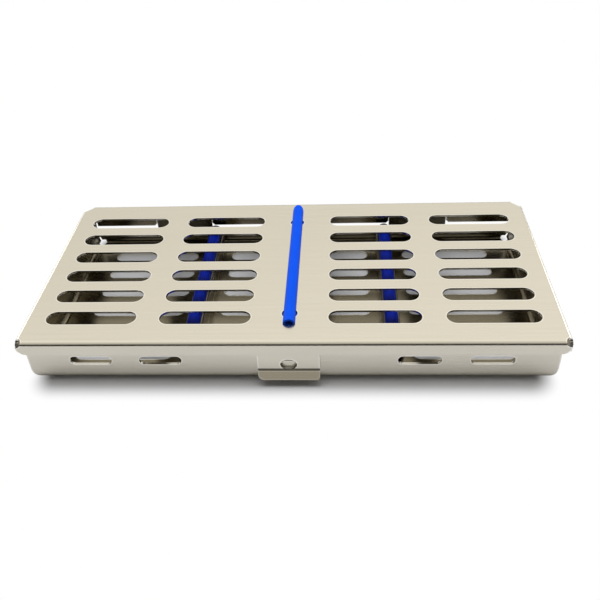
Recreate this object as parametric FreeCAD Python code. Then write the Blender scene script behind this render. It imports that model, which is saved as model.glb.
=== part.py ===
"""Instrument cassette, folded from stainless sheet, with a hinged slotted lid.

Millimetres.  +X is the cassette's length, +Y is its hinge side, +Z is up, and the origin is at the
middle of the tray's underside.  The tray and the lid are each one blank, slotted flat and folded
with the corners left open.  Both blanks are rolled round two pins along the rear edge.  A tab hangs
from the lid's front skirt and snaps over a dimple in the tray's front wall.  Two silicone rails are
pushed into folded brackets in the tray, and a silicone strip is pushed through the lid.
"""

import FreeCAD, Part
import math
import os

from FreeCAD import Vector

# Whole cassette
sheet = 0.8
cassette_length = 180.0
cassette_depth = 87.0
cassette_height = 17.4

# Lid: its bend, its skirts and the corners that are left open
lid_bend = 1.5
skirt_depth = 5.0
front_skirt_inset = 0.4
front_skirt_corner = 3.0
side_skirt_gap = 0.5
side_skirt_corner = 1.2
corner_relief = 1.7
corner_relief_inset = 0.75
corner_relief_drop = 0.5
rear_skirt_depth = 9.4
rear_skirt_inset = 3.6
rear_bend_inset = 4.1
rear_corner_cut = 4.3

# Slots in the lid
lid_slot_length = 30.9
lid_slot_width = 6.76
slot_rows = 6
slot_pitch = 12.0
slot_shift = -0.5
inner_lid_column = 28.4
outer_lid_column = 67.2

# Latch tab of the lid, its finger lip and its hole, and the dimple of the tray behind the hole
latch_width = 20.4
latch_root = 0.8
latch_crease_drop = 11.5
latch_crease_bend = 0.5
latch_lip = 3.2
latch_lip_angle = 40.0
latch_lip_bow = 0.6
latch_left_corner = 1.6
latch_right_corner = 0.6
latch_hole_length = 5.5
latch_hole_width = 4.3
latch_hole_drop = 9.4
dimple_clearance = 0.35
dimple_rise = 0.3

# Tray: its bend, its walls and the corners that are left open
tray_bend = 3.3
tray_end_clearance = 1.7
tray_front_clearance = 0.5
rim_clearance = 0.4
front_wall_inset = 0.2
front_wall_corner = 5.0
side_wall_gap = 0.5
side_wall_corner = 4.2
rear_wall_height = 5.0
rear_wall_gap = 0.3
rear_wall_corner = 2.3
floor_relief = 2.3
floor_relief_end_inset = 1.5
floor_relief_rear_inset = 2.6
floor_relief_height = 1.6

# Slots in the tray's floor and front wall
floor_slot_width = 5.0
outer_floor_slot = 34.2
outer_floor_column = 59.0
middle_floor_slot = 55.6
wall_slot_length = 14.2
wall_slot_width = 3.4
wall_slot_drop = 8.7
inner_wall_slot = 42.6
outer_wall_slot = 66.0

# Hinges
hinge_place = 48.8
hinge_drop = 4.0
hinge_slit = 0.15
hinge_notch_corner = 1.0
tray_knuckle_width = 10.4
lid_knuckle_width = 6.2
knuckle_side_gap = 0.3
knuckle_clearance = 0.45
knuckle_roll_angle = 296.0
hinge_tab_root = 1.2
pin_diameter = 1.8
pin_clearance = 0.05
pin_overhang = 0.25

# Rail brackets, which stand on the floor with tabs through it
rail_place = 34.7
bracket_sheet = 0.6
bracket_width = 6.2
bracket_rise = 7.0
bracket_bend = 1.2
bracket_length = 75.6
bracket_tab = 5.0
bracket_tab_place = 24.0
bracket_tab_short = 0.1
bracket_tab_clearance = 0.05

# Silicone rails, pushed into the brackets' crowns
rail_width = 4.6
rail_rise = 3.1
rail_side_height = 0.8
rail_end_inset = 0.2
rail_tongue_place = 26.0
rail_tongue_length = 12.0
rail_tongue_width = 2.4
rail_tongue_clearance = 0.05
rail_barb_width = 3.7
rail_barb_depth = 1.6

# Silicone strip, pushed through the lid, with a bar below that holds the instruments down
strip_width = 4.1
strip_rise = 1.9
strip_side_height = 0.4
strip_wall = 0.7
strip_mouth = 3.0
strip_front = 34.0
strip_rear = 39.0
strip_hole = 5.3
strip_hole_place = 28.5
strip_stud_clearance = 0.6
hold_down_width = 4.6
hold_down_depth = 2.4
hold_down_side_height = 0.6
hold_down_length = 72.0

# Places that follow from the sizes above
half_length = cassette_length / 2
half_depth = cassette_depth / 2
lid_top = cassette_height
lid_underside = lid_top - sheet
skirt_rim = lid_top - skirt_depth
rear_skirt_rim = lid_top - rear_skirt_depth
lid_bend_end = lid_top - lid_bend
skirt_inside = half_depth - sheet
rim = lid_underside - rim_clearance
tray_half_length = half_length - sheet - tray_end_clearance
tray_front = tray_front_clearance - skirt_inside
slot_ys = [slot_shift + slot_pitch * (row - (slot_rows - 1) / 2) for row in range(slot_rows)]
knuckle_bore = pin_diameter / 2 + pin_clearance
knuckle_radius = knuckle_bore + sheet
hinge_y = half_depth + knuckle_bore
hinge_z = lid_top - hinge_drop
hinge_half = tray_knuckle_width / 2 + knuckle_side_gap + lid_knuckle_width
hinge_tab_top = hinge_z - knuckle_radius - knuckle_clearance
bracket_top = sheet + bracket_rise
rail_length = bracket_length - 2 * rail_end_inset
latch_hole_z = lid_top - latch_hole_drop

# How far a cutter reaches past what it cuts, and how far joined lumps reach into each other
PAST = 1.0
INTO = 0.2

# Where a leaf that rises from below meets the roll, seen from the pin
LEAF_ANGLE = 180.0

PLANES = {
    "xy": lambda a, b, across: Vector(a, b, across),
    "xz": lambda a, b, across: Vector(a, across, b),
    "yz": lambda a, b, across: Vector(across, a, b),
}


def prism(plane, low, high, start, *steps):
    """A closed outline in a plane, carried across it from low to high.

    Each step is the next corner, or a pair (point on the way, end) for an arc.
    """
    place = PLANES[plane]
    edges = []
    here = start
    for step in steps:
        if isinstance(step[0], tuple):
            way, end = step
            edges.append(Part.Arc(place(*here, low), place(*way, low), place(*end, low)).toShape())
        else:
            end = step
            edges.append(Part.makeLine(place(*here, low), place(*end, low)))
        here = end
    if here != start:
        edges.append(Part.makeLine(place(*here, low), place(*start, low)))
    across = place(0, 0, high) - place(0, 0, low)
    return Part.Face(Part.Wire(edges)).extrude(across)


def box(x0, x1, y0, y1, z0, z1):
    """A block between two values along each axis."""
    return Part.makeBox(x1 - x0, y1 - y0, z1 - z0, Vector(x0, y0, z0))


def rod(radius, start, end):
    """A round bar between two points."""
    way = end - start
    return Part.makeCylinder(radius, way.Length, start, way)


def on_arc(centre, radius, degrees):
    """The point of a circle at an angle from the plane's first axis."""
    turn = math.radians(degrees)
    return (centre[0] + radius * math.cos(turn), centre[1] + radius * math.sin(turn))


def obround(plane, low, high, centre, length, width):
    """A round-ended slot cutter, long along the plane's first axis."""
    a, b = centre
    radius = width / 2
    half = length / 2 - radius
    return prism(
        plane, low, high,
        (a - half, b - radius),
        (a + half, b - radius),
        ((a + half + radius, b), (a + half, b + radius)),
        (a - half, b + radius),
        ((a - half - radius, b), (a - half, b - radius)),
    )


def corner_cutter(plane, low, high, corner, radius, towards):
    """What rounding a square corner takes away; towards points from the corner into the sheet."""
    a, b = corner
    u, v = towards
    middle = (a + u * radius, b + v * radius)
    return prism(
        plane, low, high,
        (a - u * PAST, b - v * PAST),
        (a + u * radius, b - v * PAST),
        (a + u * radius, b),
        (on_arc(middle, radius, math.degrees(math.atan2(-v, -u))), (a, b + v * radius)),
        (a - u * PAST, b + v * radius),
    )


def root_fillet(plane, low, high, corner, radius, towards):
    """The web in an inside corner; towards points from the corner into the open."""
    a, b = corner
    u, v = towards
    middle = (a + u * radius, b + v * radius)
    return prism(
        plane, low, high,
        (a, b),
        (a + u * radius, b),
        (on_arc(middle, radius, math.degrees(math.atan2(-v, -u))), (a, b + v * radius)),
    )


def corner_chamfer(plane, low, high, corner, leg, towards):
    """A three-sided prism on a corner: a web in an inside corner, or a cutter for an outside one."""
    a, b = corner
    u, v = towards
    return prism(plane, low, high, (a, b), (a + u * leg, b), (a, b + v * leg))


def channel(plane, low, high, left, right, web, left_rim, right_rim, bend, thickness):
    """A sheet folded along two edges, both flanges to the same side of its web."""
    way = math.copysign(1, left_rim - web)
    bend_end = web + way * bend
    inside = web + way * thickness
    left_middle = (left + bend, bend_end)
    right_middle = (right - bend, bend_end)
    inner_bend = bend - thickness
    left_turn = -way * 135
    right_turn = -way * 45
    return prism(
        plane, low, high,
        (left, left_rim),
        (left, bend_end),
        (on_arc(left_middle, bend, left_turn), (left + bend, web)),
        (right - bend, web),
        (on_arc(right_middle, bend, right_turn), (right, bend_end)),
        (right, right_rim),
        (right - thickness, right_rim),
        (right - thickness, bend_end),
        (on_arc(right_middle, inner_bend, right_turn), (right - bend, inside)),
        (left + bend, inside),
        (on_arc(left_middle, inner_bend, left_turn), (left + thickness, bend_end)),
        (left + thickness, left_rim),
    )


def arched_bar(low, high, middle, width, base, side, rise):
    """A bar along Y with a flat base, straight sides and an arched top; a rise below 0 hangs down."""
    half = width / 2
    shoulder = base + math.copysign(side, rise)
    return prism(
        "xz", low, high,
        (middle - half, base),
        (middle + half, base),
        (middle + half, shoulder),
        ((middle, base + rise), (middle - half, shoulder)),
    )


def rolled_knuckle(low, high, leaf_end, over):
    """A leaf that runs from leaf_end to the pin and is rolled round it.

    The leaf lies in the rear wall's plane.  over is 1 where the sheet comes up and rolls over the
    pin, and -1 where it comes down and rolls under it.
    """
    pin = (hinge_y, hinge_z)
    roll_end = LEAF_ANGLE - over * knuckle_roll_angle
    half_way = LEAF_ANGLE - over * knuckle_roll_angle / 2
    return prism(
        "yz", low, high,
        (hinge_y - knuckle_radius, leaf_end),
        (hinge_y - knuckle_radius, hinge_z),
        (on_arc(pin, knuckle_radius, half_way), on_arc(pin, knuckle_radius, roll_end)),
        on_arc(pin, knuckle_bore, roll_end),
        (on_arc(pin, knuckle_bore, half_way), (hinge_y - knuckle_bore, hinge_z)),
        (hinge_y - knuckle_bore, leaf_end),
    )


def lid_folded():
    """The lid's panel and four skirts, with each corner of the blank left open."""
    side_front = side_skirt_gap - skirt_inside
    side_rear = half_depth - rear_corner_cut
    bend_line = half_depth - lid_bend
    panel_end = half_length - lid_bend
    front_end = half_length - front_skirt_inset
    ends = (-half_depth, half_depth, lid_top, skirt_rim, rear_skirt_rim, lid_bend, sheet)
    sides = channel(
        "xz", side_front, side_rear,
        -half_length, half_length, lid_top, skirt_rim, skirt_rim, lid_bend, sheet,
    ).cut(box(-panel_end, panel_end, -half_depth, -bend_line, skirt_rim, lid_top + PAST))
    front = channel("yz", -front_end, front_end, *ends).common(
        box(-front_end, front_end, -half_depth, -bend_line, skirt_rim, lid_top)
    )
    lid = channel("yz", -panel_end, panel_end, *ends).fuse([sides, front])
    for side in (-1, 1):
        bend_end = side * (half_length - rear_bend_inset)
        skirt_end = side * (half_length - rear_skirt_inset)
        past_end = side * (half_length + PAST)
        lid = lid.cut([
            prism(
                "xy", lid_bend_end, lid_top + PAST,
                (bend_end, half_depth + PAST),
                (bend_end, bend_line),
                (side * panel_end, side_rear),
                (past_end, side_rear),
                (past_end, half_depth + PAST),
            ),
            box(
                *sorted((skirt_end, past_end)),
                side_rear, half_depth + PAST, rear_skirt_rim - PAST, lid_bend_end,
            ),
            Part.makeSphere(corner_relief, Vector(
                side * (half_length - corner_relief_inset),
                corner_relief_inset - half_depth,
                lid_top - corner_relief_drop,
            )),
            corner_cutter(
                "xz", -half_depth - PAST, side_front - side_skirt_gap / 2,
                (side * front_end, skirt_rim), front_skirt_corner, (-side, 1),
            ),
            corner_chamfer(
                "yz", side * panel_end, side * (half_length + PAST),
                (side_rear, skirt_rim), side_skirt_corner, (-1, 1),
            ),
        ])
    return lid


def hinge_notch(centre):
    """The gap in the lid's rear skirt that one hinge sits in, with the skirt's corners cut off."""
    reach = hinge_half + hinge_slit
    wall = (skirt_inside - PAST, half_depth + PAST)
    corners = [
        corner_chamfer(
            "xz", *wall, (centre + side * reach, rear_skirt_rim), hinge_notch_corner, (side, 1)
        )
        for side in (-1, 1)
    ]
    gap = box(centre - reach, centre + reach, *wall, rear_skirt_rim - PAST, lid_bend_end)
    return [gap] + corners


def lid_knuckles(centre):
    """The lid's two knuckles of one hinge, outside the tray's."""
    inner = tray_knuckle_width / 2 + knuckle_side_gap
    return [
        rolled_knuckle(centre - hinge_half, centre - inner, lid_bend_end, -1),
        rolled_knuckle(centre + inner, centre + hinge_half, lid_bend_end, -1),
    ]


def latch_tab():
    """The springy tab below the front skirt, creased outwards into a finger lip."""
    half = latch_width / 2
    crease = lid_top - latch_crease_drop
    outside = -half_depth
    middle = (outside - latch_crease_bend, crease)
    outer_bend = latch_crease_bend + sheet
    turn = -latch_lip_angle
    along = on_arc((0, 0), latch_lip, turn - 90)
    face_end = on_arc(middle, latch_crease_bend, turn)
    back_end = on_arc(middle, outer_bend, turn)
    tab = prism(
        "yz", -half, half,
        (outside, skirt_rim),
        (outside, crease),
        (on_arc(middle, latch_crease_bend, turn / 2), face_end),
        (face_end[0] + along[0], face_end[1] + along[1]),
        (back_end[0] + along[0], back_end[1] + along[1]),
        back_end,
        (on_arc(middle, outer_bend, turn / 2), (outside + sheet, crease)),
        (outside + sheet, skirt_rim),
    )
    lowest = back_end[1] + along[1]
    corner = lowest + latch_lip_bow
    trim = prism(
        "xz", outside - latch_lip - PAST, 0,
        (-half - PAST, corner),
        ((0, lowest), (half + PAST, corner)),
        (half + PAST, lowest - PAST),
        (-half - PAST, lowest - PAST),
    )
    reach = (outside - latch_lip - PAST, outside + PAST)
    tab = tab.cut([
        trim,
        corner_cutter("xz", *reach, (-half, corner), latch_left_corner, (1, 1)),
        corner_chamfer("xz", *reach, (half, corner), latch_right_corner, (-1, 1)),
    ])
    fillets = [
        root_fillet("xz", outside, outside + sheet, (side * half, skirt_rim), latch_root, (side, -1))
        for side in (-1, 1)
    ]
    return tab.fuse(fillets)


def latch_hole_cutter():
    """An obround cutter through the tab, which stops short of the tray's front wall."""
    return obround(
        "xz", -half_depth - latch_lip, tray_front - tray_front_clearance / 2,
        (0, latch_hole_z), latch_hole_length, latch_hole_width,
    )


def lid_slots():
    """Four columns of slots in the lid's panel."""
    columns = (-outer_lid_column, -inner_lid_column, inner_lid_column, outer_lid_column)
    return [
        obround("xy", lid_underside - PAST, lid_top + PAST, (x, y), lid_slot_length, lid_slot_width)
        for x in columns
        for y in slot_ys
    ]


def make_lid():
    """The lid: one folded sheet with slots, a latch tab and four knuckles."""
    lid = lid_folded()
    lid = lid.cut(hinge_notch(-hinge_place) + hinge_notch(hinge_place) + lid_slots())
    lid = lid.fuse(lid_knuckles(-hinge_place) + lid_knuckles(hinge_place) + [latch_tab()])
    strip_holes = [
        rod(strip_hole / 2, Vector(0, y, lid_underside - PAST), Vector(0, y, lid_top + PAST))
        for y in (-strip_hole_place, strip_hole_place)
    ]
    return lid.cut(strip_holes + [latch_hole_cutter()]).removeSplitter()


def tray_folded():
    """The tray's floor and four walls, with each corner of the blank left open."""
    inner_front = tray_front + sheet
    side_front = inner_front + side_wall_gap
    side_rear = skirt_inside - side_wall_gap
    front_end = tray_half_length - front_wall_inset
    rear_end = tray_half_length - sheet - rear_wall_gap
    front_bend_line = tray_front + tray_bend
    rear_bend_line = half_depth - tray_bend
    floor_end = tray_half_length - tray_bend
    sides = channel(
        "xz", side_front, side_rear,
        -tray_half_length, tray_half_length, 0, rim, rim, tray_bend, sheet,
    ).cut([
        box(-floor_end, floor_end, side_front - PAST, front_bend_line, -PAST, sheet + PAST),
        box(-floor_end, floor_end, rear_bend_line, side_rear + PAST, -PAST, sheet + PAST),
    ])
    ends = channel(
        "yz", -front_end, front_end,
        tray_front, half_depth, 0, rim, rear_wall_height, tray_bend, sheet,
    )
    reliefs = []
    for side in (-1, 1):
        wall = (side * floor_end, side * (tray_half_length + PAST))
        sides = sides.cut([
            corner_cutter("yz", *wall, (side_front, 0), side_wall_corner, (1, 1)),
            corner_cutter("yz", *wall, (side_rear, 0), side_wall_corner, (-1, 1)),
        ])
        ends = ends.cut([
            box(
                *sorted((side * floor_end, side * (front_end + PAST))),
                front_bend_line, rear_bend_line, -PAST, rim + PAST,
            ),
            box(
                *sorted((side * rear_end, side * (front_end + PAST))),
                rear_bend_line, half_depth + PAST, -PAST, rim + PAST,
            ),
            corner_cutter(
                "xz", tray_front - PAST, front_bend_line,
                (side * front_end, 0), front_wall_corner, (-side, 1),
            ),
            corner_chamfer(
                "xz", rear_bend_line, half_depth + PAST,
                (side * rear_end, 0), rear_wall_corner, (-side, 1),
            ),
        ])
        relief_x = side * (tray_half_length - floor_relief_end_inset)
        relief_y = half_depth - floor_relief_rear_inset
        reliefs.append(rod(
            floor_relief, Vector(relief_x, relief_y, -PAST), Vector(relief_x, relief_y, floor_relief_height)
        ))
    return sides.fuse(ends).cut(reliefs)


def hinge_tab(centre):
    """The tongue that rises from the tray's rear wall, narrows, and is rolled over the pin."""
    left = centre - hinge_half
    right = centre + hinge_half
    wall = (skirt_inside, half_depth)
    knuckle_half = tray_knuckle_width / 2
    return [
        box(left, right, *wall, rear_wall_height, hinge_tab_top),
        corner_chamfer("xz", *wall, (left, rear_wall_height), hinge_tab_root, (-1, 1)),
        corner_chamfer("xz", *wall, (right, rear_wall_height), hinge_tab_root, (1, 1)),
        rolled_knuckle(centre - knuckle_half, centre + knuckle_half, hinge_tab_top, 1),
    ]


def tray_slots():
    """Three columns of slots in the floor, in line with the lid's, and four in the front wall."""
    columns = (
        (-outer_floor_column, outer_floor_slot),
        (0, middle_floor_slot),
        (outer_floor_column, outer_floor_slot),
    )
    floor = [
        obround("xy", -PAST, sheet + PAST, (x, y), length, floor_slot_width)
        for x, length in columns
        for y in slot_ys
    ]
    wall_z = lid_top - wall_slot_drop
    wall = [
        obround(
            "xz", tray_front - PAST, tray_front + sheet + PAST,
            (side * x, wall_z), wall_slot_length, wall_slot_width,
        )
        for x in (inner_wall_slot, outer_wall_slot)
        for side in (-1, 1)
    ]
    return floor + wall


def dimple(back, inset):
    """A low boss in the outline of the latch's hole, inset by its clearance, in front of back."""
    narrower = 2 * (dimple_clearance + inset)
    return obround(
        "xz", back - dimple_rise, back,
        (0, latch_hole_z), latch_hole_length - narrower, latch_hole_width - narrower,
    )


def bracket_tab_slots():
    """Slots in the floor for the tabs of the brackets."""
    slots = []
    for x, y in bracket_tab_places():
        half_width = bracket_sheet / 2 + bracket_tab_clearance
        half_tab = bracket_tab / 2 + bracket_tab_clearance
        slots.append(box(
            x - half_width, x + half_width, y - half_tab, y + half_tab, -PAST, sheet + PAST,
        ))
    return slots


def bracket_tab_places():
    """The middles of the eight tabs, two under each leg of each bracket."""
    leg = (bracket_width - bracket_sheet) / 2
    return [
        (side * rail_place + foot * leg, y)
        for side in (-1, 1)
        for foot in (-1, 1)
        for y in (-bracket_tab_place, bracket_tab_place)
    ]


def make_tray():
    """The tray: one folded sheet with slots, a latch dimple and two hinge tongues."""
    tray = tray_folded()
    tray = tray.fuse(hinge_tab(-hinge_place) + hinge_tab(hinge_place) + [dimple(tray_front, 0)])
    hollow = dimple(tray_front + sheet, sheet / 2)
    return tray.cut(tray_slots() + bracket_tab_slots() + [hollow]).removeSplitter()


def make_pin(centre):
    """A hinge pin of plain wire, just longer than its knuckles."""
    half = hinge_half + pin_overhang
    return rod(
        pin_diameter / 2,
        Vector(centre - half, hinge_y, hinge_z),
        Vector(centre + half, hinge_y, hinge_z),
    )


def make_bracket(side):
    """A rail bracket: an upturned channel with tabs below and two slots in its crown."""
    middle = side * rail_place
    half = bracket_width / 2
    bracket = channel(
        "xz", -bracket_length / 2, bracket_length / 2,
        middle - half, middle + half, bracket_top, sheet, sheet, bracket_bend, bracket_sheet,
    )
    tabs = [
        box(
            x - bracket_sheet / 2, x + bracket_sheet / 2,
            y - bracket_tab / 2, y + bracket_tab / 2,
            bracket_tab_short, sheet,
        )
        for x, y in bracket_tab_places()
        if x * side > 0
    ]
    half_slot = rail_tongue_length / 2 + rail_tongue_clearance
    half_width = rail_tongue_width / 2 + rail_tongue_clearance
    slots = [
        box(
            middle - half_width, middle + half_width,
            y - half_slot, y + half_slot, bracket_top - PAST, bracket_top + PAST,
        )
        for y in (-rail_tongue_place, rail_tongue_place)
    ]
    return bracket.fuse(tabs).cut(slots).removeSplitter()


def rail_tongue(middle, y):
    """A barbed tongue below a rail, which is squeezed through its slot in the bracket's crown."""
    neck = rail_tongue_width / 2
    barb = rail_barb_width / 2
    barb_top = bracket_top - bracket_sheet
    barb_end = barb_top - rail_barb_depth
    return prism(
        "xz", y - rail_tongue_length / 2, y + rail_tongue_length / 2,
        (middle - neck, bracket_top + INTO),
        (middle - neck, barb_top),
        (middle - barb, barb_top),
        (middle - barb / 2, barb_end),
        (middle + barb / 2, barb_end),
        (middle + barb, barb_top),
        (middle + neck, barb_top),
        (middle + neck, bracket_top + INTO),
    )


def make_rail(side):
    """A silicone rail on its bracket, held by two barbed tongues through the crown."""
    middle = side * rail_place
    half = rail_length / 2
    rail = arched_bar(-half, half, middle, rail_width, bracket_top, rail_side_height, rail_rise)
    tongues = [rail_tongue(middle, y) for y in (-rail_tongue_place, rail_tongue_place)]
    return rail.fuse(tongues).removeSplitter()


def make_strip():
    """The lid's silicone strip: a bead above, two studs through the lid and a bar below."""
    radius = strip_width / 2
    round_end = Vector(0, strip_rear - radius, lid_top)
    bead = arched_bar(
        -strip_front, strip_rear, 0, strip_width, lid_top, strip_side_height, strip_rise
    )
    bead = bead.common([
        box(-radius, radius, -strip_front, round_end.y, lid_top, lid_top + strip_rise),
        rod(radius, round_end, round_end + Vector(0, 0, strip_rise)),
    ])
    mouth = arched_bar(
        -strip_front - PAST, strip_mouth - strip_front,
        0, strip_width - 2 * strip_wall, lid_top, strip_side_height, strip_rise - strip_wall,
    )
    half = hold_down_length / 2
    bar = arched_bar(
        -half, half, 0, hold_down_width, lid_underside, hold_down_side_height, -hold_down_depth
    )
    stud = strip_hole / 2 - strip_stud_clearance
    studs = [
        rod(stud, Vector(0, y, lid_underside - INTO), Vector(0, y, lid_top + INTO))
        for y in (-strip_hole_place, strip_hole_place)
    ]
    return bead.cut(mouth).fuse(studs + [bar]).removeSplitter()


def write(node, shape):
    """Checks a node's solid and writes it."""
    if not shape.isValid() or len(shape.Solids) != 1:
        raise ValueError(f"{node}: {len(shape.Solids)} solids, valid {shape.isValid()}")
    shape.Solids[0].exportStep(f"parts/{node}.step")
    print(f"{node}: {shape.Volume:.1f} mm3")


def main():
    """Makes every piece of the cassette."""
    os.makedirs("parts", exist_ok=True)
    write("tray", make_tray())
    write("lid", make_lid())
    write("lid_strip", make_strip())
    for name, side in (("left", -1), ("right", 1)):
        write(f"{name}_hinge_pin", make_pin(side * hinge_place))
        write(f"{name}_rail_bracket", make_bracket(side))
        write(f"{name}_rail", make_rail(side))


main()
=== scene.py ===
# %% [markdown]
# Instrument cassette.
# A cassette keeps a set of hand instruments together while they are washed and sterilised. This
# one is a low tray and a lid, both folded from brushed stainless sheet, with slots that let water
# and steam through. The imported model holds every piece at its real size. This script gives the
# pieces their finish and adds the camera, the light and the floor.

# %% Load the frame
import math

import bpy
import numpy as np
from mathutils import Matrix, Vector


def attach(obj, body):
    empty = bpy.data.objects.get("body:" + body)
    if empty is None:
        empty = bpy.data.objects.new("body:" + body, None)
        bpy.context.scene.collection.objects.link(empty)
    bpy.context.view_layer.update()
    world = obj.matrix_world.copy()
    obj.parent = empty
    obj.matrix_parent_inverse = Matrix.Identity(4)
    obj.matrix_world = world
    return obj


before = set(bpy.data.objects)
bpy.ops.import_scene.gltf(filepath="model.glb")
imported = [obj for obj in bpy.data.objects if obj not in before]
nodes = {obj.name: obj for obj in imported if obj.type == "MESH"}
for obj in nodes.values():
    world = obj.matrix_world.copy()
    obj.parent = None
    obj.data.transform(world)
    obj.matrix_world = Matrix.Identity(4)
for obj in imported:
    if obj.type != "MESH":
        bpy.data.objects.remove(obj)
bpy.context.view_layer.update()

MM = 0.001
print("nodes:", ", ".join(sorted(nodes)))

# %% [markdown]
# The camera.
# The photograph looks down on the front of the cassette from a little right of its middle. A
# camera could be set by eye, but the 24 slots of the lid all have one size and one pitch, so
# matching them fixes its place, its turn and its lens together. A turn is written as three
# angles: about Z, then down, then about the line of sight.

# %% Camera
CAMERA_PLACE = (17.643, -215.013, 168.955)
CAMERA_TURN = 4.278
CAMERA_DOWN = 37.962
CAMERA_ROLL = 2.967
CAMERA_LENS = 43.2
CAMERA_SENSOR = 36.0


def turned(axis, degrees):
    """A turn about one axis."""
    return Matrix.Rotation(math.radians(degrees), 4, axis)


camera = bpy.data.objects.new("camera", bpy.data.cameras.new("camera"))
camera.data.lens = CAMERA_LENS
camera.data.sensor_width = CAMERA_SENSOR
camera.matrix_world = (
    Matrix.Translation([v * MM for v in CAMERA_PLACE])
    @ turned("Z", CAMERA_TURN)
    @ turned("X", -CAMERA_DOWN)
    @ turned("Y", CAMERA_ROLL)
    @ turned("X", 90)
)
bpy.context.scene.collection.objects.link(camera)
bpy.context.scene.camera = camera
print("camera at", CAMERA_PLACE, "mm, looking down", CAMERA_DOWN, "degrees")

# %% [markdown]
# Small helpers for materials.
# Colours are written as hex values, as a paint chart gives them, and one function turns them into
# the linear numbers that the shader works with. Another starts a material, and a third adds a
# node with its settings and links, which keeps each recipe below about as short as a list.

# %% Helpers for materials


def linear(hex_colour):
    """The linear RGBA of an sRGB hex colour.

    Each channel c from 0 to 1 becomes c / 12.92 up to 0.04045 and ((c + 0.055) / 1.055) to the
    power 2.4 above it.
    """
    channels = [int(hex_colour[i:i + 2], 16) / 255 for i in (1, 3, 5)]
    return [c / 12.92 if c <= 0.04045 else ((c + 0.055) / 1.055) ** 2.4 for c in channels] + [1.0]


def new_material(name):
    """A material with its shader and output, as (material, shader, node tree)."""
    material = bpy.data.materials.new(name)
    material.use_nodes = True
    tree = material.node_tree
    shader = tree.nodes["Principled BSDF"]
    return material, shader, tree


def add_node(tree, kind, inputs=None, **settings):
    """Adds a node, sets its properties, and fills each input with a value or a link."""
    node = tree.nodes.new(kind)
    for key, value in settings.items():
        setattr(node, key, value)
    for key, value in (inputs or {}).items():
        if isinstance(value, bpy.types.NodeSocket):
            tree.links.new(value, node.inputs[key])
        else:
            node.inputs[key].default_value = value
    return node


print("mid grey #808080 in linear numbers:", round(linear("#808080")[0], 3))

# %% [markdown]
# Where on the sheet a point lies.
# The painted shade inside the box and in its corners and the shade on the paper all depend on a
# place. They could be painted on the mesh, but its triangles are long and narrow and hold no
# detail. A folded sheet is nearly a box with rounded edges, so one measure serves them all: how
# far a point lies from a smaller box inside that one.

# %% Distance from a box


def rounded_box_distance(tree, place, low, high, radius):
    """How far a point lies from a box that is smaller by radius on every side, 0 inside it.

    It is the length of max(|p - centre| - (half size - radius), 0), so it equals radius on the
    skin of the box with all its edges rounded. The corners and the radius are in millimetres.
    """
    low = Vector(low) * MM
    high = Vector(high) * MM
    centred = add_node(tree, "ShaderNodeVectorMath", {0: place, 1: (low + high) / 2},
                       operation="SUBTRACT")
    spread = add_node(tree, "ShaderNodeVectorMath", {0: centred.outputs[0]}, operation="ABSOLUTE")
    core = (high - low) / 2 - Vector((radius, radius, radius)) * MM
    past = add_node(tree, "ShaderNodeVectorMath", {0: spread.outputs[0], 1: core},
                    operation="SUBTRACT")
    outside = add_node(tree, "ShaderNodeVectorMath", {0: past.outputs[0], 1: (0, 0, 0)},
                       operation="MAXIMUM")
    return add_node(tree, "ShaderNodeVectorMath", {0: outside.outputs[0]},
                    operation="LENGTH").outputs["Value"]


# %% [markdown]
# The grain of brushed sheet.
# The sheet was ground with a fine belt along its length before it was cut, so it has long
# scratches along X that spread a reflection across them. A picture of brushed metal would repeat
# and blur, while a noise that is stretched along X does neither. The real scratches are a few
# hundredths of a millimetre wide, too fine to show, so they are drawn a quarter of a millimetre
# wide. Steam and washing leave the shine a little uneven, which a larger, softer noise adds.
# Most values of a noise lie between 0.3 and 0.7, so those are its dark and its light end.

# %% Grain and cloud
GRAIN_LENGTH = 30.0 * MM
GRAIN_WIDTH = 0.25 * MM
CLOUD_SIZE = 45.0 * MM
NOISE_SPAN = (0.3, 0.7)


def grain_and_cloud(tree, place, along):
    """The noise of the scratches along one axis, and the slow noise of the shine."""
    scale = [1 / GRAIN_LENGTH if a else 1 / GRAIN_WIDTH for a in along]
    stretched = add_node(tree, "ShaderNodeMapping", {"Vector": place, "Scale": scale})
    grain = add_node(tree, "ShaderNodeTexNoise", {
        "Vector": stretched.outputs[0], "Scale": 1.0, "Detail": 3.0, "Roughness": 0.6,
    })
    cloud = add_node(tree, "ShaderNodeTexNoise", {
        "Vector": place, "Scale": 1 / CLOUD_SIZE, "Detail": 2.0, "Roughness": 0.5,
    })
    return grain.outputs["Fac"], cloud.outputs["Fac"]


print("scratches of", GRAIN_LENGTH / MM, "by", GRAIN_WIDTH / MM, "mm")

# %% [markdown]
# Painted shade inside.
# The inside faces lie in the shade of the closed box, and that shade is painted into their tone,
# which is darker and browner than the outside. Both sides are one mesh, which could be split only
# by picking faces. The distance from a box tells them apart instead: where a point lies deeper
# than half the sheet below its outer skin, the tone is multiplied by the painted shade's colour.
# The box of each piece goes on far past its open side, so that only its closed sides count as
# skin.

# %% Painted shade inside
INSIDE_SHADE = "#AAA598"
INSIDE_SHADE_DEPTH = (0.5, 0.3)
LID_SHELL = ((-90.0, -43.5, -40.0), (90.0, 43.5, 17.4), 1.5)
TRAY_SHELL = ((-87.5, -42.2, 0.0), (87.5, 43.5, 60.0), 3.3)


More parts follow.
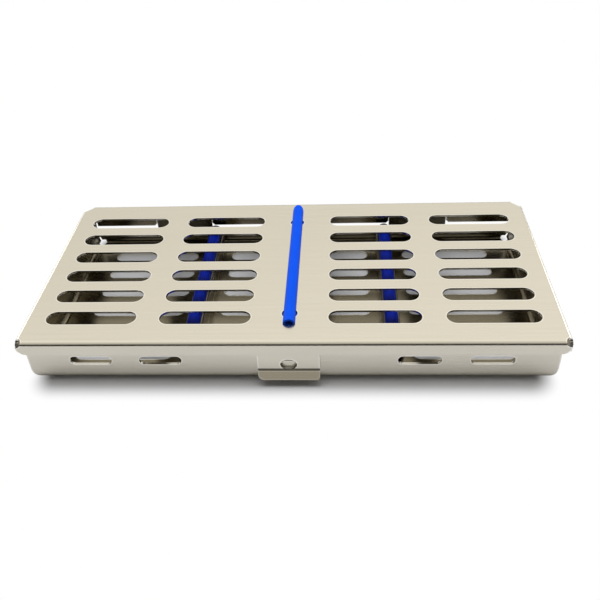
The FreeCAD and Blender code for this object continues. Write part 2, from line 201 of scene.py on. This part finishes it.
def inside_shaded(tree, place, tint, shell):
    """The tint with painted shade on the inside faces.

    shell gives the low corner, the high corner and the bend of the sheet's outside. The painted
    shade is whole at the first of the two depths and gone at the second, both in millimetres.
    """
    low, high, bend = shell
    inside = add_node(tree, "ShaderNodeMapRange", {
        "Value": rounded_box_distance(tree, place, low, high, bend),
        "From Min": (bend - INSIDE_SHADE_DEPTH[0]) * MM, "From Max": (bend - INSIDE_SHADE_DEPTH[1]) * MM,
        "To Min": 1.0, "To Max": 0.0,
    })
    return add_node(tree, "ShaderNodeMix", {
        "Factor": inside.outputs["Result"], "A": tint, "B": linear(INSIDE_SHADE),
    }, data_type="RGBA", blend_type="MULTIPLY").outputs["Result"]


print("film from", INSIDE_SHADE_DEPTH[1], "to", INSIDE_SHADE_DEPTH[0], "mm below the outer skin")

# %% [markdown]
# Painted edge highlights.
# The rims of the slots and the folds catch the light as thin bright lines, and these highlights
# are painted into the tone. The Bevel node finds them without a mark on the mesh: near an edge it
# leans the normal over, and the further it leaves the face's own normal, the more of the bright
# tone is mixed in. The real line is a few tenths of a millimetre wide and is drawn wider, so that
# it still shows.

# %% Painted edge highlights
HIGHLIGHT_REACH = 0.9 * MM
EDGE_SAMPLES = 8
EDGE_HIGHLIGHT = "#FFFDF6"
HIGHLIGHT_FROM = 0.99
HIGHLIGHT_FULLY = 0.93


def highlighted(tree, tint):
    """The tint with a painted highlight on its edges.

    The share of the bright tone goes from 0 to 1 while the dot product of the bevelled and the
    flat normal goes from HIGHLIGHT_FROM to HIGHLIGHT_FULLY.
    """
    rounded = add_node(tree, "ShaderNodeBevel", {"Radius": HIGHLIGHT_REACH}, samples=EDGE_SAMPLES)
    facing = add_node(tree, "ShaderNodeNewGeometry").outputs["True Normal"]
    agreement = add_node(tree, "ShaderNodeVectorMath", {0: rounded.outputs[0], 1: facing},
                         operation="DOT_PRODUCT")
    highlight_share = add_node(tree, "ShaderNodeMapRange", {
        "Value": agreement.outputs["Value"], "From Min": HIGHLIGHT_FROM, "From Max": HIGHLIGHT_FULLY,
        "To Min": 0.0, "To Max": 1.0,
    })
    return add_node(tree, "ShaderNodeMix", {
        "Factor": highlight_share.outputs["Result"], "A": tint, "B": linear(EDGE_HIGHLIGHT),
    }, data_type="RGBA").outputs["Result"]


print("edges rubbed over", HIGHLIGHT_REACH / MM, "mm")

# %% [markdown]
# Painted shade and light in marks.
# Shade is painted into the tone where it falls: a dark line in the crease above the finger lip,
# dark open corners of the lid, and a darker inside of the rear wall. The finger lip gets a darker,
# browner tone, which is a painted dark reflection. The skirt's lower rim is painted back to the
# plain sheet's tone, which takes the painted edge highlight off it. Each mark is a box in the
# piece's own millimetres with a soft skin, which stays in its place when the lid turns.

# %% Painted shade and light in marks
MARK_FADE = 0.25 * MM
# The skirt's lower rim is painted back to the plain sheet's tone, which takes the painted edge
# highlight off it.
SKIRT_RIM = ((-90.0, -44.2, 11.7), (90.0, -42.6, 12.9), "#E4DFD1", 0.9)
# Painted shade: a dark line in the crease above the finger lip.
CREASE_SHADE = ((-10.2, -44.6, 5.6), (10.2, -43.3, 6.2), "#3E382C", 0.85)
# A painted dark reflection: the finger lip's darker, browner tone.
LIP_DARK_REFLECTION = ((-10.4, -47.0, 2.0), (10.4, -44.0, 5.5), "#8C7C58", 0.4)
# Painted shade in the lid's open front corners.
LEFT_CORNER_SHADE = ((-90.2, -43.0, 13.2), (-89.0, -41.6, 16.9), "#1E1B16", 0.9)
RIGHT_CORNER_SHADE = ((89.0, -43.0, 13.2), (90.2, -41.6, 16.9), "#1E1B16", 0.9)
# Painted shade on the inside of the rear wall.
REAR_WALL_SHADE = ((-86.7, 39.5, 1.0), (86.7, 42.9, 17.0), "#3E3A2F", 0.65)
LID_PAINTED_MARKS = (SKIRT_RIM, CREASE_SHADE, LIP_DARK_REFLECTION, LEFT_CORNER_SHADE, RIGHT_CORNER_SHADE)
TRAY_PAINTED_MARKS = (REAR_WALL_SHADE,)


def with_painted_marks(tree, place, tint, painted_marks):
    """The tint with each painted mark mixed in.

    A mark gives the low and high corner of its box, its colour, and how much of it there is. It is
    whole inside the box and gone at the fade width outside it.
    """
    for low, high, mark_colour, amount in painted_marks:
        held = add_node(tree, "ShaderNodeMapRange", {
            "Value": rounded_box_distance(tree, place, low, high, 0.0),
            "From Min": 0.0, "From Max": MARK_FADE, "To Min": amount, "To Max": 0.0,
        })
        tint = add_node(tree, "ShaderNodeMix", {
            "Factor": held.outputs["Result"], "A": tint, "B": linear(mark_colour),
        }, data_type="RGBA").outputs["Result"]
    return tint


print("stains:", len(LID_PAINTED_MARKS), "on the lid,", len(TRAY_PAINTED_MARKS), "on the tray")

# %% [markdown]
# Brushed stainless steel.
# Stainless steel is a metal of a light, warm grey, ground to a satin: the eye sees a soft picture
# of the room in it, drawn out across the scratches. So the shader is all metal with the default
# IOR, the room's picture is blurred by a low roughness, and the scratches move the tone, the
# roughness and a bump that is hundredths of a millimetre deep.

# %% Brushed stainless steel
SHINE_SWING = 0.04
SCRATCH_ROUGHNESS = 0.12
SCRATCH_DEPTH = 0.01 * MM
SCRATCH_BUMP = 0.5


def brushed_steel(name, light, dark, rough, depth=SCRATCH_DEPTH, along=(1, 0, 0), shell=None,
                  painted_marks=()):
    """Metal with scratches along one axis, a cloudy shine, painted shade inside, painted edge
    highlights and painted marks.
    """
    material, shader, tree = new_material(name)
    place = add_node(tree, "ShaderNodeTexCoord").outputs["Object"]
    grain, cloud = grain_and_cloud(tree, place, along)
    tint = add_node(tree, "ShaderNodeMix", {
        "Factor": grain, "A": linear(dark), "B": linear(light),
    }, data_type="RGBA").outputs["Result"]
    if shell:
        tint = inside_shaded(tree, place, tint, shell)
    tint = with_painted_marks(tree, place, highlighted(tree, tint), painted_marks)
    tree.links.new(tint, shader.inputs["Base Color"])
    cloudy = add_node(tree, "ShaderNodeMapRange", {
        "Value": cloud, "From Min": NOISE_SPAN[0], "From Max": NOISE_SPAN[1],
        "To Min": rough - SHINE_SWING, "To Max": rough + SHINE_SWING,
    })
    scratched = add_node(tree, "ShaderNodeMath", {
        0: grain, 1: SCRATCH_ROUGHNESS, 2: cloudy.outputs["Result"],
    }, operation="MULTIPLY_ADD")
    tree.links.new(scratched.outputs[0], shader.inputs["Roughness"])
    bump = add_node(tree, "ShaderNodeBump", {
        "Height": grain, "Distance": depth, "Strength": SCRATCH_BUMP,
    })
    tree.links.new(bump.outputs[0], shader.inputs["Normal"])
    shader.inputs["Metallic"].default_value = 1.0
    print(name, "with", len(tree.nodes), "nodes")
    return material


# %% [markdown]
# The four steels.
# The lid and the tray are of one kind of sheet. The tray is painted a shade darker than the lid,
# as painted shade for walls that stand out of the light. The rail brackets are painted much
# darker, as painted shade for their place inside the closed tray, and their grain runs along Y, as
# their strip was cut. The hinge pins are drawn wire, smoother to the touch and duller to the eye.
# Where one recipe fits all four, only its numbers change.

# %% The four steels
WIRE_DEPTH = 0.005 * MM

lid_steel = brushed_steel(
    "brushed_stainless_lid", "#EDE8DA", "#DFD9C9", 0.16, shell=LID_SHELL, painted_marks=LID_PAINTED_MARKS
)
tray_steel = brushed_steel(
    "brushed_stainless_tray", "#EBE6D8", "#DAD4C5", 0.17, shell=TRAY_SHELL, painted_marks=TRAY_PAINTED_MARKS
)
# The brackets' dark tone is painted shade.
shaded_bracket_steel = brushed_steel(
    "brushed_stainless_bracket_shaded", "#878173", "#776F62", 0.2, along=(0, 1, 0)
)
pin_steel = brushed_steel("drawn_stainless_wire", "#C4C0B4", "#B0AB9D", 0.25, WIRE_DEPTH)

# %% [markdown]
# Silicone rubber.
# The rails and the strip are moulded in a strong blue silicone. It is smooth and waxy with a soft
# broad highlight, its tone changes slowly where the rubber flowed into the mould, and its skin
# holds fine dust. Silicone has an IOR of 1.41, and the dust takes off more of the highlight, which
# a low specular level gives. Real dust is finer than half a millimetre, which is as fine as it
# can be and still show. The light that a real strip lets through its skin is left out, because a
# blue as deep as this one hides it.

# %% Silicone rubber
DUST_SIZE = 0.5 * MM
DUST_DEPTH = 0.02 * MM
DUST_BUMP = 0.4
FLOW_SIZE = 9.0 * MM
SILICONE_IOR = 1.41
SILICONE_SPECULAR = 0.2
MATT_SWING = (-0.05, 0.08)


def silicone(name, light, dark, rough):
    """Moulded silicone with slow changes of tone and a fine dusty bump."""
    material, shader, tree = new_material(name)
    place = add_node(tree, "ShaderNodeTexCoord").outputs["Object"]
    flow = add_node(tree, "ShaderNodeTexNoise", {
        "Vector": place, "Scale": 1 / FLOW_SIZE, "Detail": 3.0, "Roughness": 0.5,
    })
    dust = add_node(tree, "ShaderNodeTexNoise", {
        "Vector": place, "Scale": 1 / DUST_SIZE, "Detail": 2.0, "Roughness": 0.6,
    })
    colour = add_node(tree, "ShaderNodeMix", {
        "Factor": flow.outputs["Fac"], "A": linear(dark), "B": linear(light),
    }, data_type="RGBA")
    tree.links.new(colour.outputs["Result"], shader.inputs["Base Color"])
    matt = add_node(tree, "ShaderNodeMapRange", {
        "Value": dust.outputs["Fac"], "From Min": NOISE_SPAN[0], "From Max": NOISE_SPAN[1],
        "To Min": rough + MATT_SWING[0], "To Max": rough + MATT_SWING[1],
    })
    tree.links.new(matt.outputs["Result"], shader.inputs["Roughness"])
    bump = add_node(tree, "ShaderNodeBump", {
        "Height": dust.outputs["Fac"], "Distance": DUST_DEPTH, "Strength": DUST_BUMP,
    })
    tree.links.new(bump.outputs[0], shader.inputs["Normal"])
    shader.inputs["IOR"].default_value = SILICONE_IOR
    shader.inputs["Specular IOR Level"].default_value = SILICONE_SPECULAR
    print(name, "with", len(tree.nodes), "nodes")
    return material


strip_silicone = silicone("silicone_strip", "#0058F4", "#0050E6", 0.6)
# The rails are the same silicone as the strip; their much darker blue is painted shade for their
# place inside the tray.
shaded_rail_silicone = silicone("silicone_rail_shaded", "#021F98", "#01167A", 0.5)

# %% [markdown]
# Which piece gets which finish.
# A piece could have several materials by face. Here each has one for its whole mesh, because the
# recipes above already tell its sides and places apart.

# %% Give the pieces their finish
FINISHES = {
    "lid": lid_steel,
    "tray": tray_steel,
    "left_rail_bracket": shaded_bracket_steel,
    "right_rail_bracket": shaded_bracket_steel,
    "left_hinge_pin": pin_steel,
    "right_hinge_pin": pin_steel,
    "left_rail": shaded_rail_silicone,
    "right_rail": shaded_rail_silicone,
    "lid_strip": strip_silicone,
}
for name, material in FINISHES.items():
    slots = nodes[name].data.materials
    slots.clear()
    slots.append(material)
print("finished pieces:", len(FINISHES), "of", len(nodes))

# %% [markdown]
# The dimple's crown.
# The latch tab snaps over a dimple that is pressed out of the tray's front wall. The solid part
# has it as a low flat boss. A punch draws the sheet into a soft crown, so the boss gets one here.
# A squashed ball would have the wrong outline, because the dimple is longer than it is high. So
# it is a grid over that rounded outline, raised in the middle and falling away steeply at the rim.

# %% The dimple's crown
CROWN_PLACE = (0.0, -42.5, 8.0)
CROWN_LENGTH = 4.7
CROWN_WIDTH = 3.5
CROWN_RISE = 0.38
CROWN_RINGS = 10
CROWN_SPOKES = 64


def crown_points():
    """Rings of points on the crown, from its middle to its rim.

    A ring at share s of the way out is an obround s times as large as the rim: the straight part
    is s times (length - width) long and the ends have the radius s times half the width. Its
    height is rise times (1 - s to the power 4).
    """
    share = np.linspace(0, 1, CROWN_RINGS + 1)[1:, None]
    turn = np.linspace(0, 2 * np.pi, CROWN_SPOKES, endpoint=False)[None, :]
    straight = (CROWN_LENGTH - CROWN_WIDTH) / 2
    across = share * (CROWN_WIDTH / 2 * np.cos(turn) + straight * np.sign(np.cos(turn).round(9)))
    up = share * CROWN_WIDTH / 2 * np.sin(turn)
    out = np.broadcast_to(CROWN_RISE * (1 - share ** 4), across.shape)
    rings = np.stack([across, -out, up], axis=-1).reshape(-1, 3)
    middle = np.array([[0.0, -CROWN_RISE, 0.0]])
    return (np.concatenate([middle, rings]) + CROWN_PLACE) * MM


def crown_faces():
    """Triangles round the middle and quads between the rings, facing out of the wall."""
    spoke = np.arange(CROWN_SPOKES)
    following = (spoke + 1) % CROWN_SPOKES
    fan = np.stack([np.zeros_like(spoke), 1 + spoke, 1 + following], axis=1).tolist()
    start = 1 + CROWN_SPOKES * np.arange(CROWN_RINGS - 1)[:, None]
    quads = np.stack([
        start + spoke, start + CROWN_SPOKES + spoke,
        start + CROWN_SPOKES + following, start + following,
    ], axis=-1).reshape(-1, 4).tolist()
    return fan + quads


crown_mesh = bpy.data.meshes.new("dimple_crown")
crown_mesh.from_pydata(crown_points().tolist(), [], crown_faces())
crown_mesh.shade_smooth()
crown_mesh.materials.append(tray_steel)
crown = bpy.data.objects.new("dimple_crown", crown_mesh)
bpy.context.scene.collection.objects.link(crown)
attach(crown, "tray")
print("crown faces:", len(crown_mesh.polygons), "facing", crown_mesh.polygons[0].normal[:])

# %% [markdown]
# What a ray sees.
# The white surroundings are there for the eye, not as lamps. More lamps could make them white,
# but would burn out the steel. Blender knows how a ray got to a surface, so rays from the camera
# or through something clear see the white in full, and mirrored rays see a share of it.

# %% What a ray sees


def seen_share(tree, in_a_mirror):
    """1 on rays that show a surface straight or through glass, and a share on mirrored ones.

    It is max(camera ray, transmission ray) + in_a_mirror * glossy ray.
    """
    ray = add_node(tree, "ShaderNodeLightPath")
    straight = add_node(tree, "ShaderNodeMath", {
        0: ray.outputs["Is Camera Ray"], 1: ray.outputs["Is Transmission Ray"],
    }, operation="MAXIMUM")
    return add_node(tree, "ShaderNodeMath", {
        0: ray.outputs["Is Glossy Ray"], 1: in_a_mirror, 2: straight.outputs[0],
    }, operation="MULTIPLY_ADD").outputs[0]


# %% [markdown]
# The white paper.
# The cassette lies on white paper that shows only by the narrow soft shadow along its foot. The
# paper is matt and sends back what falls on it, so the shadow under the cassette is a real one.
# For the eye it also glows: not at all near the foot, and as pure white from 11 mm away on, with
# a smooth step between them. The footprint ends a little inside the cassette's ends, where the
# real shadow thins out. The steel mirrors only a little of the glow, or it would look lit from
# below.

# %% The white paper
FLOOR_REACH = 3.0
PAPER = "#D8D8DA"
WHITE = "#FFFFFF"
GLOW_REACH = (2.0 * MM, 11.0 * MM)
GLOW_IN_STEEL = 0.12
FOOTPRINT = ((-79.0, -42.0, -5.0), (78.0, 43.5, 5.0))

paper = bpy.data.materials.new("white_paper")
paper.use_nodes = True
paper_tree = paper.node_tree
paper_tree.nodes.clear()
matt_paper = add_node(paper_tree, "ShaderNodeBsdfDiffuse", {"Color": linear(PAPER)})
glow = add_node(paper_tree, "ShaderNodeEmission", {"Color": linear(WHITE), "Strength": 1.0})
paper_place = add_node(paper_tree, "ShaderNodeTexCoord").outputs["Object"]
glow_by_place = add_node(paper_tree, "ShaderNodeMapRange", {
    "Value": rounded_box_distance(paper_tree, paper_place, *FOOTPRINT, 0.0),
    "From Min": GLOW_REACH[0], "From Max": GLOW_REACH[1], "To Min": 0.0, "To Max": 1.0,
}, interpolation_type="SMOOTHSTEP")
glow_share = add_node(paper_tree, "ShaderNodeMath", {
    0: seen_share(paper_tree, GLOW_IN_STEEL), 1: glow_by_place.outputs["Result"],
}, operation="MULTIPLY")
paper_face = add_node(paper_tree, "ShaderNodeMixShader", {
    0: glow_share.outputs[0], 1: matt_paper.outputs[0], 2: glow.outputs[0],
})
add_node(paper_tree, "ShaderNodeOutputMaterial", {0: paper_face.outputs[0]})

floor_mesh = bpy.data.meshes.new("floor")
floor_mesh.from_pydata(
    [
        (-FLOOR_REACH, -FLOOR_REACH, 0), (FLOOR_REACH, -FLOOR_REACH, 0),
        (FLOOR_REACH, FLOOR_REACH, 0), (-FLOOR_REACH, FLOOR_REACH, 0),
    ],
    [],
    [(0, 1, 2, 3)],
)
floor_mesh.materials.append(paper)
floor = bpy.data.objects.new("floor", floor_mesh)
bpy.context.scene.collection.objects.link(floor)
print("paper of", 2 * FLOOR_REACH, "m, white from", GLOW_REACH[1] / MM, "mm off the foot")

# %% [markdown]
# The room.
# Satin steel looks like what it mirrors, so the room matters more to it than the lamps do. In one
# even white it would look like grey paint. In mirrored rays the room is therefore graded, as a
# white studio with its light overhead is: brightest high up and a little to the right, falling
# off towards the horizon and behind the camera, and a trace warm. On matt surfaces it is a dim
# even fill, and to the eye it is plain white.

# %% The room
ROOM_LIGHT = 0.15
ROOM_IN_STEEL = "#FFFCF5"
HIGH_UP = ((0.2, 0.0, 1.0), 0.3, 0.75, 0.74)
HORIZON = ((0.0, 0.0, 1.0), 0.0, 0.2, 0.25)
BEHIND_CAMERA = ((0.0, 1.0, 0.0), -0.9, 0.1, 0.5)

world = bpy.data.worlds.new("room")
bpy.context.scene.world = world
world.use_nodes = True
room_tree = world.node_tree
room_tree.nodes.clear()
direction = add_node(room_tree, "ShaderNodeTexCoord").outputs["Generated"]


def towards(axis, low, high, least):
    """A strength that rises to 1 as the direction turns towards an axis.

    It goes from least to 1 while the dot product of the direction and the axis goes from low to
    high.
    """
    share = add_node(room_tree, "ShaderNodeVectorMath", {0: direction, 1: axis},
                     operation="DOT_PRODUCT")
    return add_node(room_tree, "ShaderNodeMapRange", {
        "Value": share.outputs["Value"], "From Min": low, "From Max": high,
        "To Min": least, "To Max": 1.0,
    }).outputs["Result"]


overhead = add_node(room_tree, "ShaderNodeMath", {
    0: towards(*HIGH_UP), 1: towards(*HORIZON),
}, operation="MULTIPLY")
graded = add_node(room_tree, "ShaderNodeMath", {
    0: overhead.outputs[0], 1: towards(*BEHIND_CAMERA),
}, operation="MULTIPLY")
mirrored_ray = add_node(room_tree, "ShaderNodeLightPath").outputs["Is Glossy Ray"]
even = add_node(room_tree, "ShaderNodeMapRange", {
    "Value": seen_share(room_tree, 1.0), "To Min": ROOM_LIGHT, "To Max": 1.0,
})
strength = add_node(room_tree, "ShaderNodeMix", {
    "Factor": mirrored_ray, "A": even.outputs["Result"], "B": graded.outputs[0],
})
wall_colour = add_node(room_tree, "ShaderNodeMix", {
    "Factor": mirrored_ray, "A": linear(WHITE), "B": linear(ROOM_IN_STEEL),
}, data_type="RGBA")
room = add_node(room_tree, "ShaderNodeBackground", {
    "Color": wall_colour.outputs["Result"], "Strength": strength.outputs["Result"],
})
add_node(room_tree, "ShaderNodeOutputWorld", {0: room.outputs[0]})
print("room with", len(room_tree.nodes), "nodes")

# %% [markdown]
# The lamps.
# One large lamp overhead and a little behind lights the paper and the silicone and casts the soft
# shadow along the front. A sun would cast a hard one. The steel doesn't mirror this lamp, because
# its picture would burn out the lid. Two small windows, low at both sides behind, are mirrored,
# and each draws a bright line along the folds at its end.

# %% The lamps


def soft_lamp(name, place, size, power, mirrored=True):
    """A flat lamp at place that faces the cassette; place and size in millimetres."""
    light = bpy.data.lights.new(name, "AREA")
    light.shape = "RECTANGLE"
    light.size = size[0] * MM
    light.size_y = size[1] * MM
    light.energy = power
    lamp = bpy.data.objects.new(name, light)
    lamp.location = Vector(place) * MM
    lamp.rotation_euler = (-lamp.location).to_track_quat("-Z", "Y").to_euler()
    lamp.visible_glossy = mirrored
    bpy.context.scene.collection.objects.link(lamp)
    print(name, "at", place, "mm with", power, "W")


soft_lamp("sky", (0, 190, 900), (1200, 800), 10.2, mirrored=False)
soft_lamp("left_window", (-680, 500, 200), (420, 280), 0.8)
soft_lamp("right_window", (680, 500, 200), (420, 280), 0.8)

# %% [markdown]
# The dark card.
# Photographers lay black cloth over a card in front of polished metal to draw its edges. The fold
# of the lid and the foot of the front wall mirror it, which gives the thin dark line between lid
# and skirt. Painting that line would look wrong from every other side. Only mirrored rays see the
# card, so it neither shows in the picture nor takes light from the paper.

# %% The dark card
CARD_WIDTH = 1400.0
CARD_FOOT = (-85.0, 0.0)
CARD_TOP = (-160.0, 66.0)

cloth, cloth_shader = new_material("black_cloth")[:2]
cloth_shader.inputs["Base Color"].default_value = linear("#1A1815")
cloth_shader.inputs["Roughness"].default_value = 0.9
card_mesh = bpy.data.meshes.new("dark_card")
card_corners = [
    (-CARD_WIDTH / 2, *CARD_FOOT), (CARD_WIDTH / 2, *CARD_FOOT),
    (CARD_WIDTH / 2, *CARD_TOP), (-CARD_WIDTH / 2, *CARD_TOP),
]
card_mesh.from_pydata((np.array(card_corners) * MM).tolist(), [], [(3, 2, 1, 0)])
card_mesh.materials.append(cloth)
card = bpy.data.objects.new("dark_card", card_mesh)
card.visible_camera = False
card.visible_diffuse = False
card.visible_shadow = False
bpy.context.scene.collection.objects.link(card)
print("card from", CARD_FOOT, "to", CARD_TOP, "mm in Y and Z")

# %% [markdown]
# The display.
# The picture is shown with the plain display transform, at which a colour looks as it is written.

# %% Display
bpy.context.scene.view_settings.view_transform = "Standard"
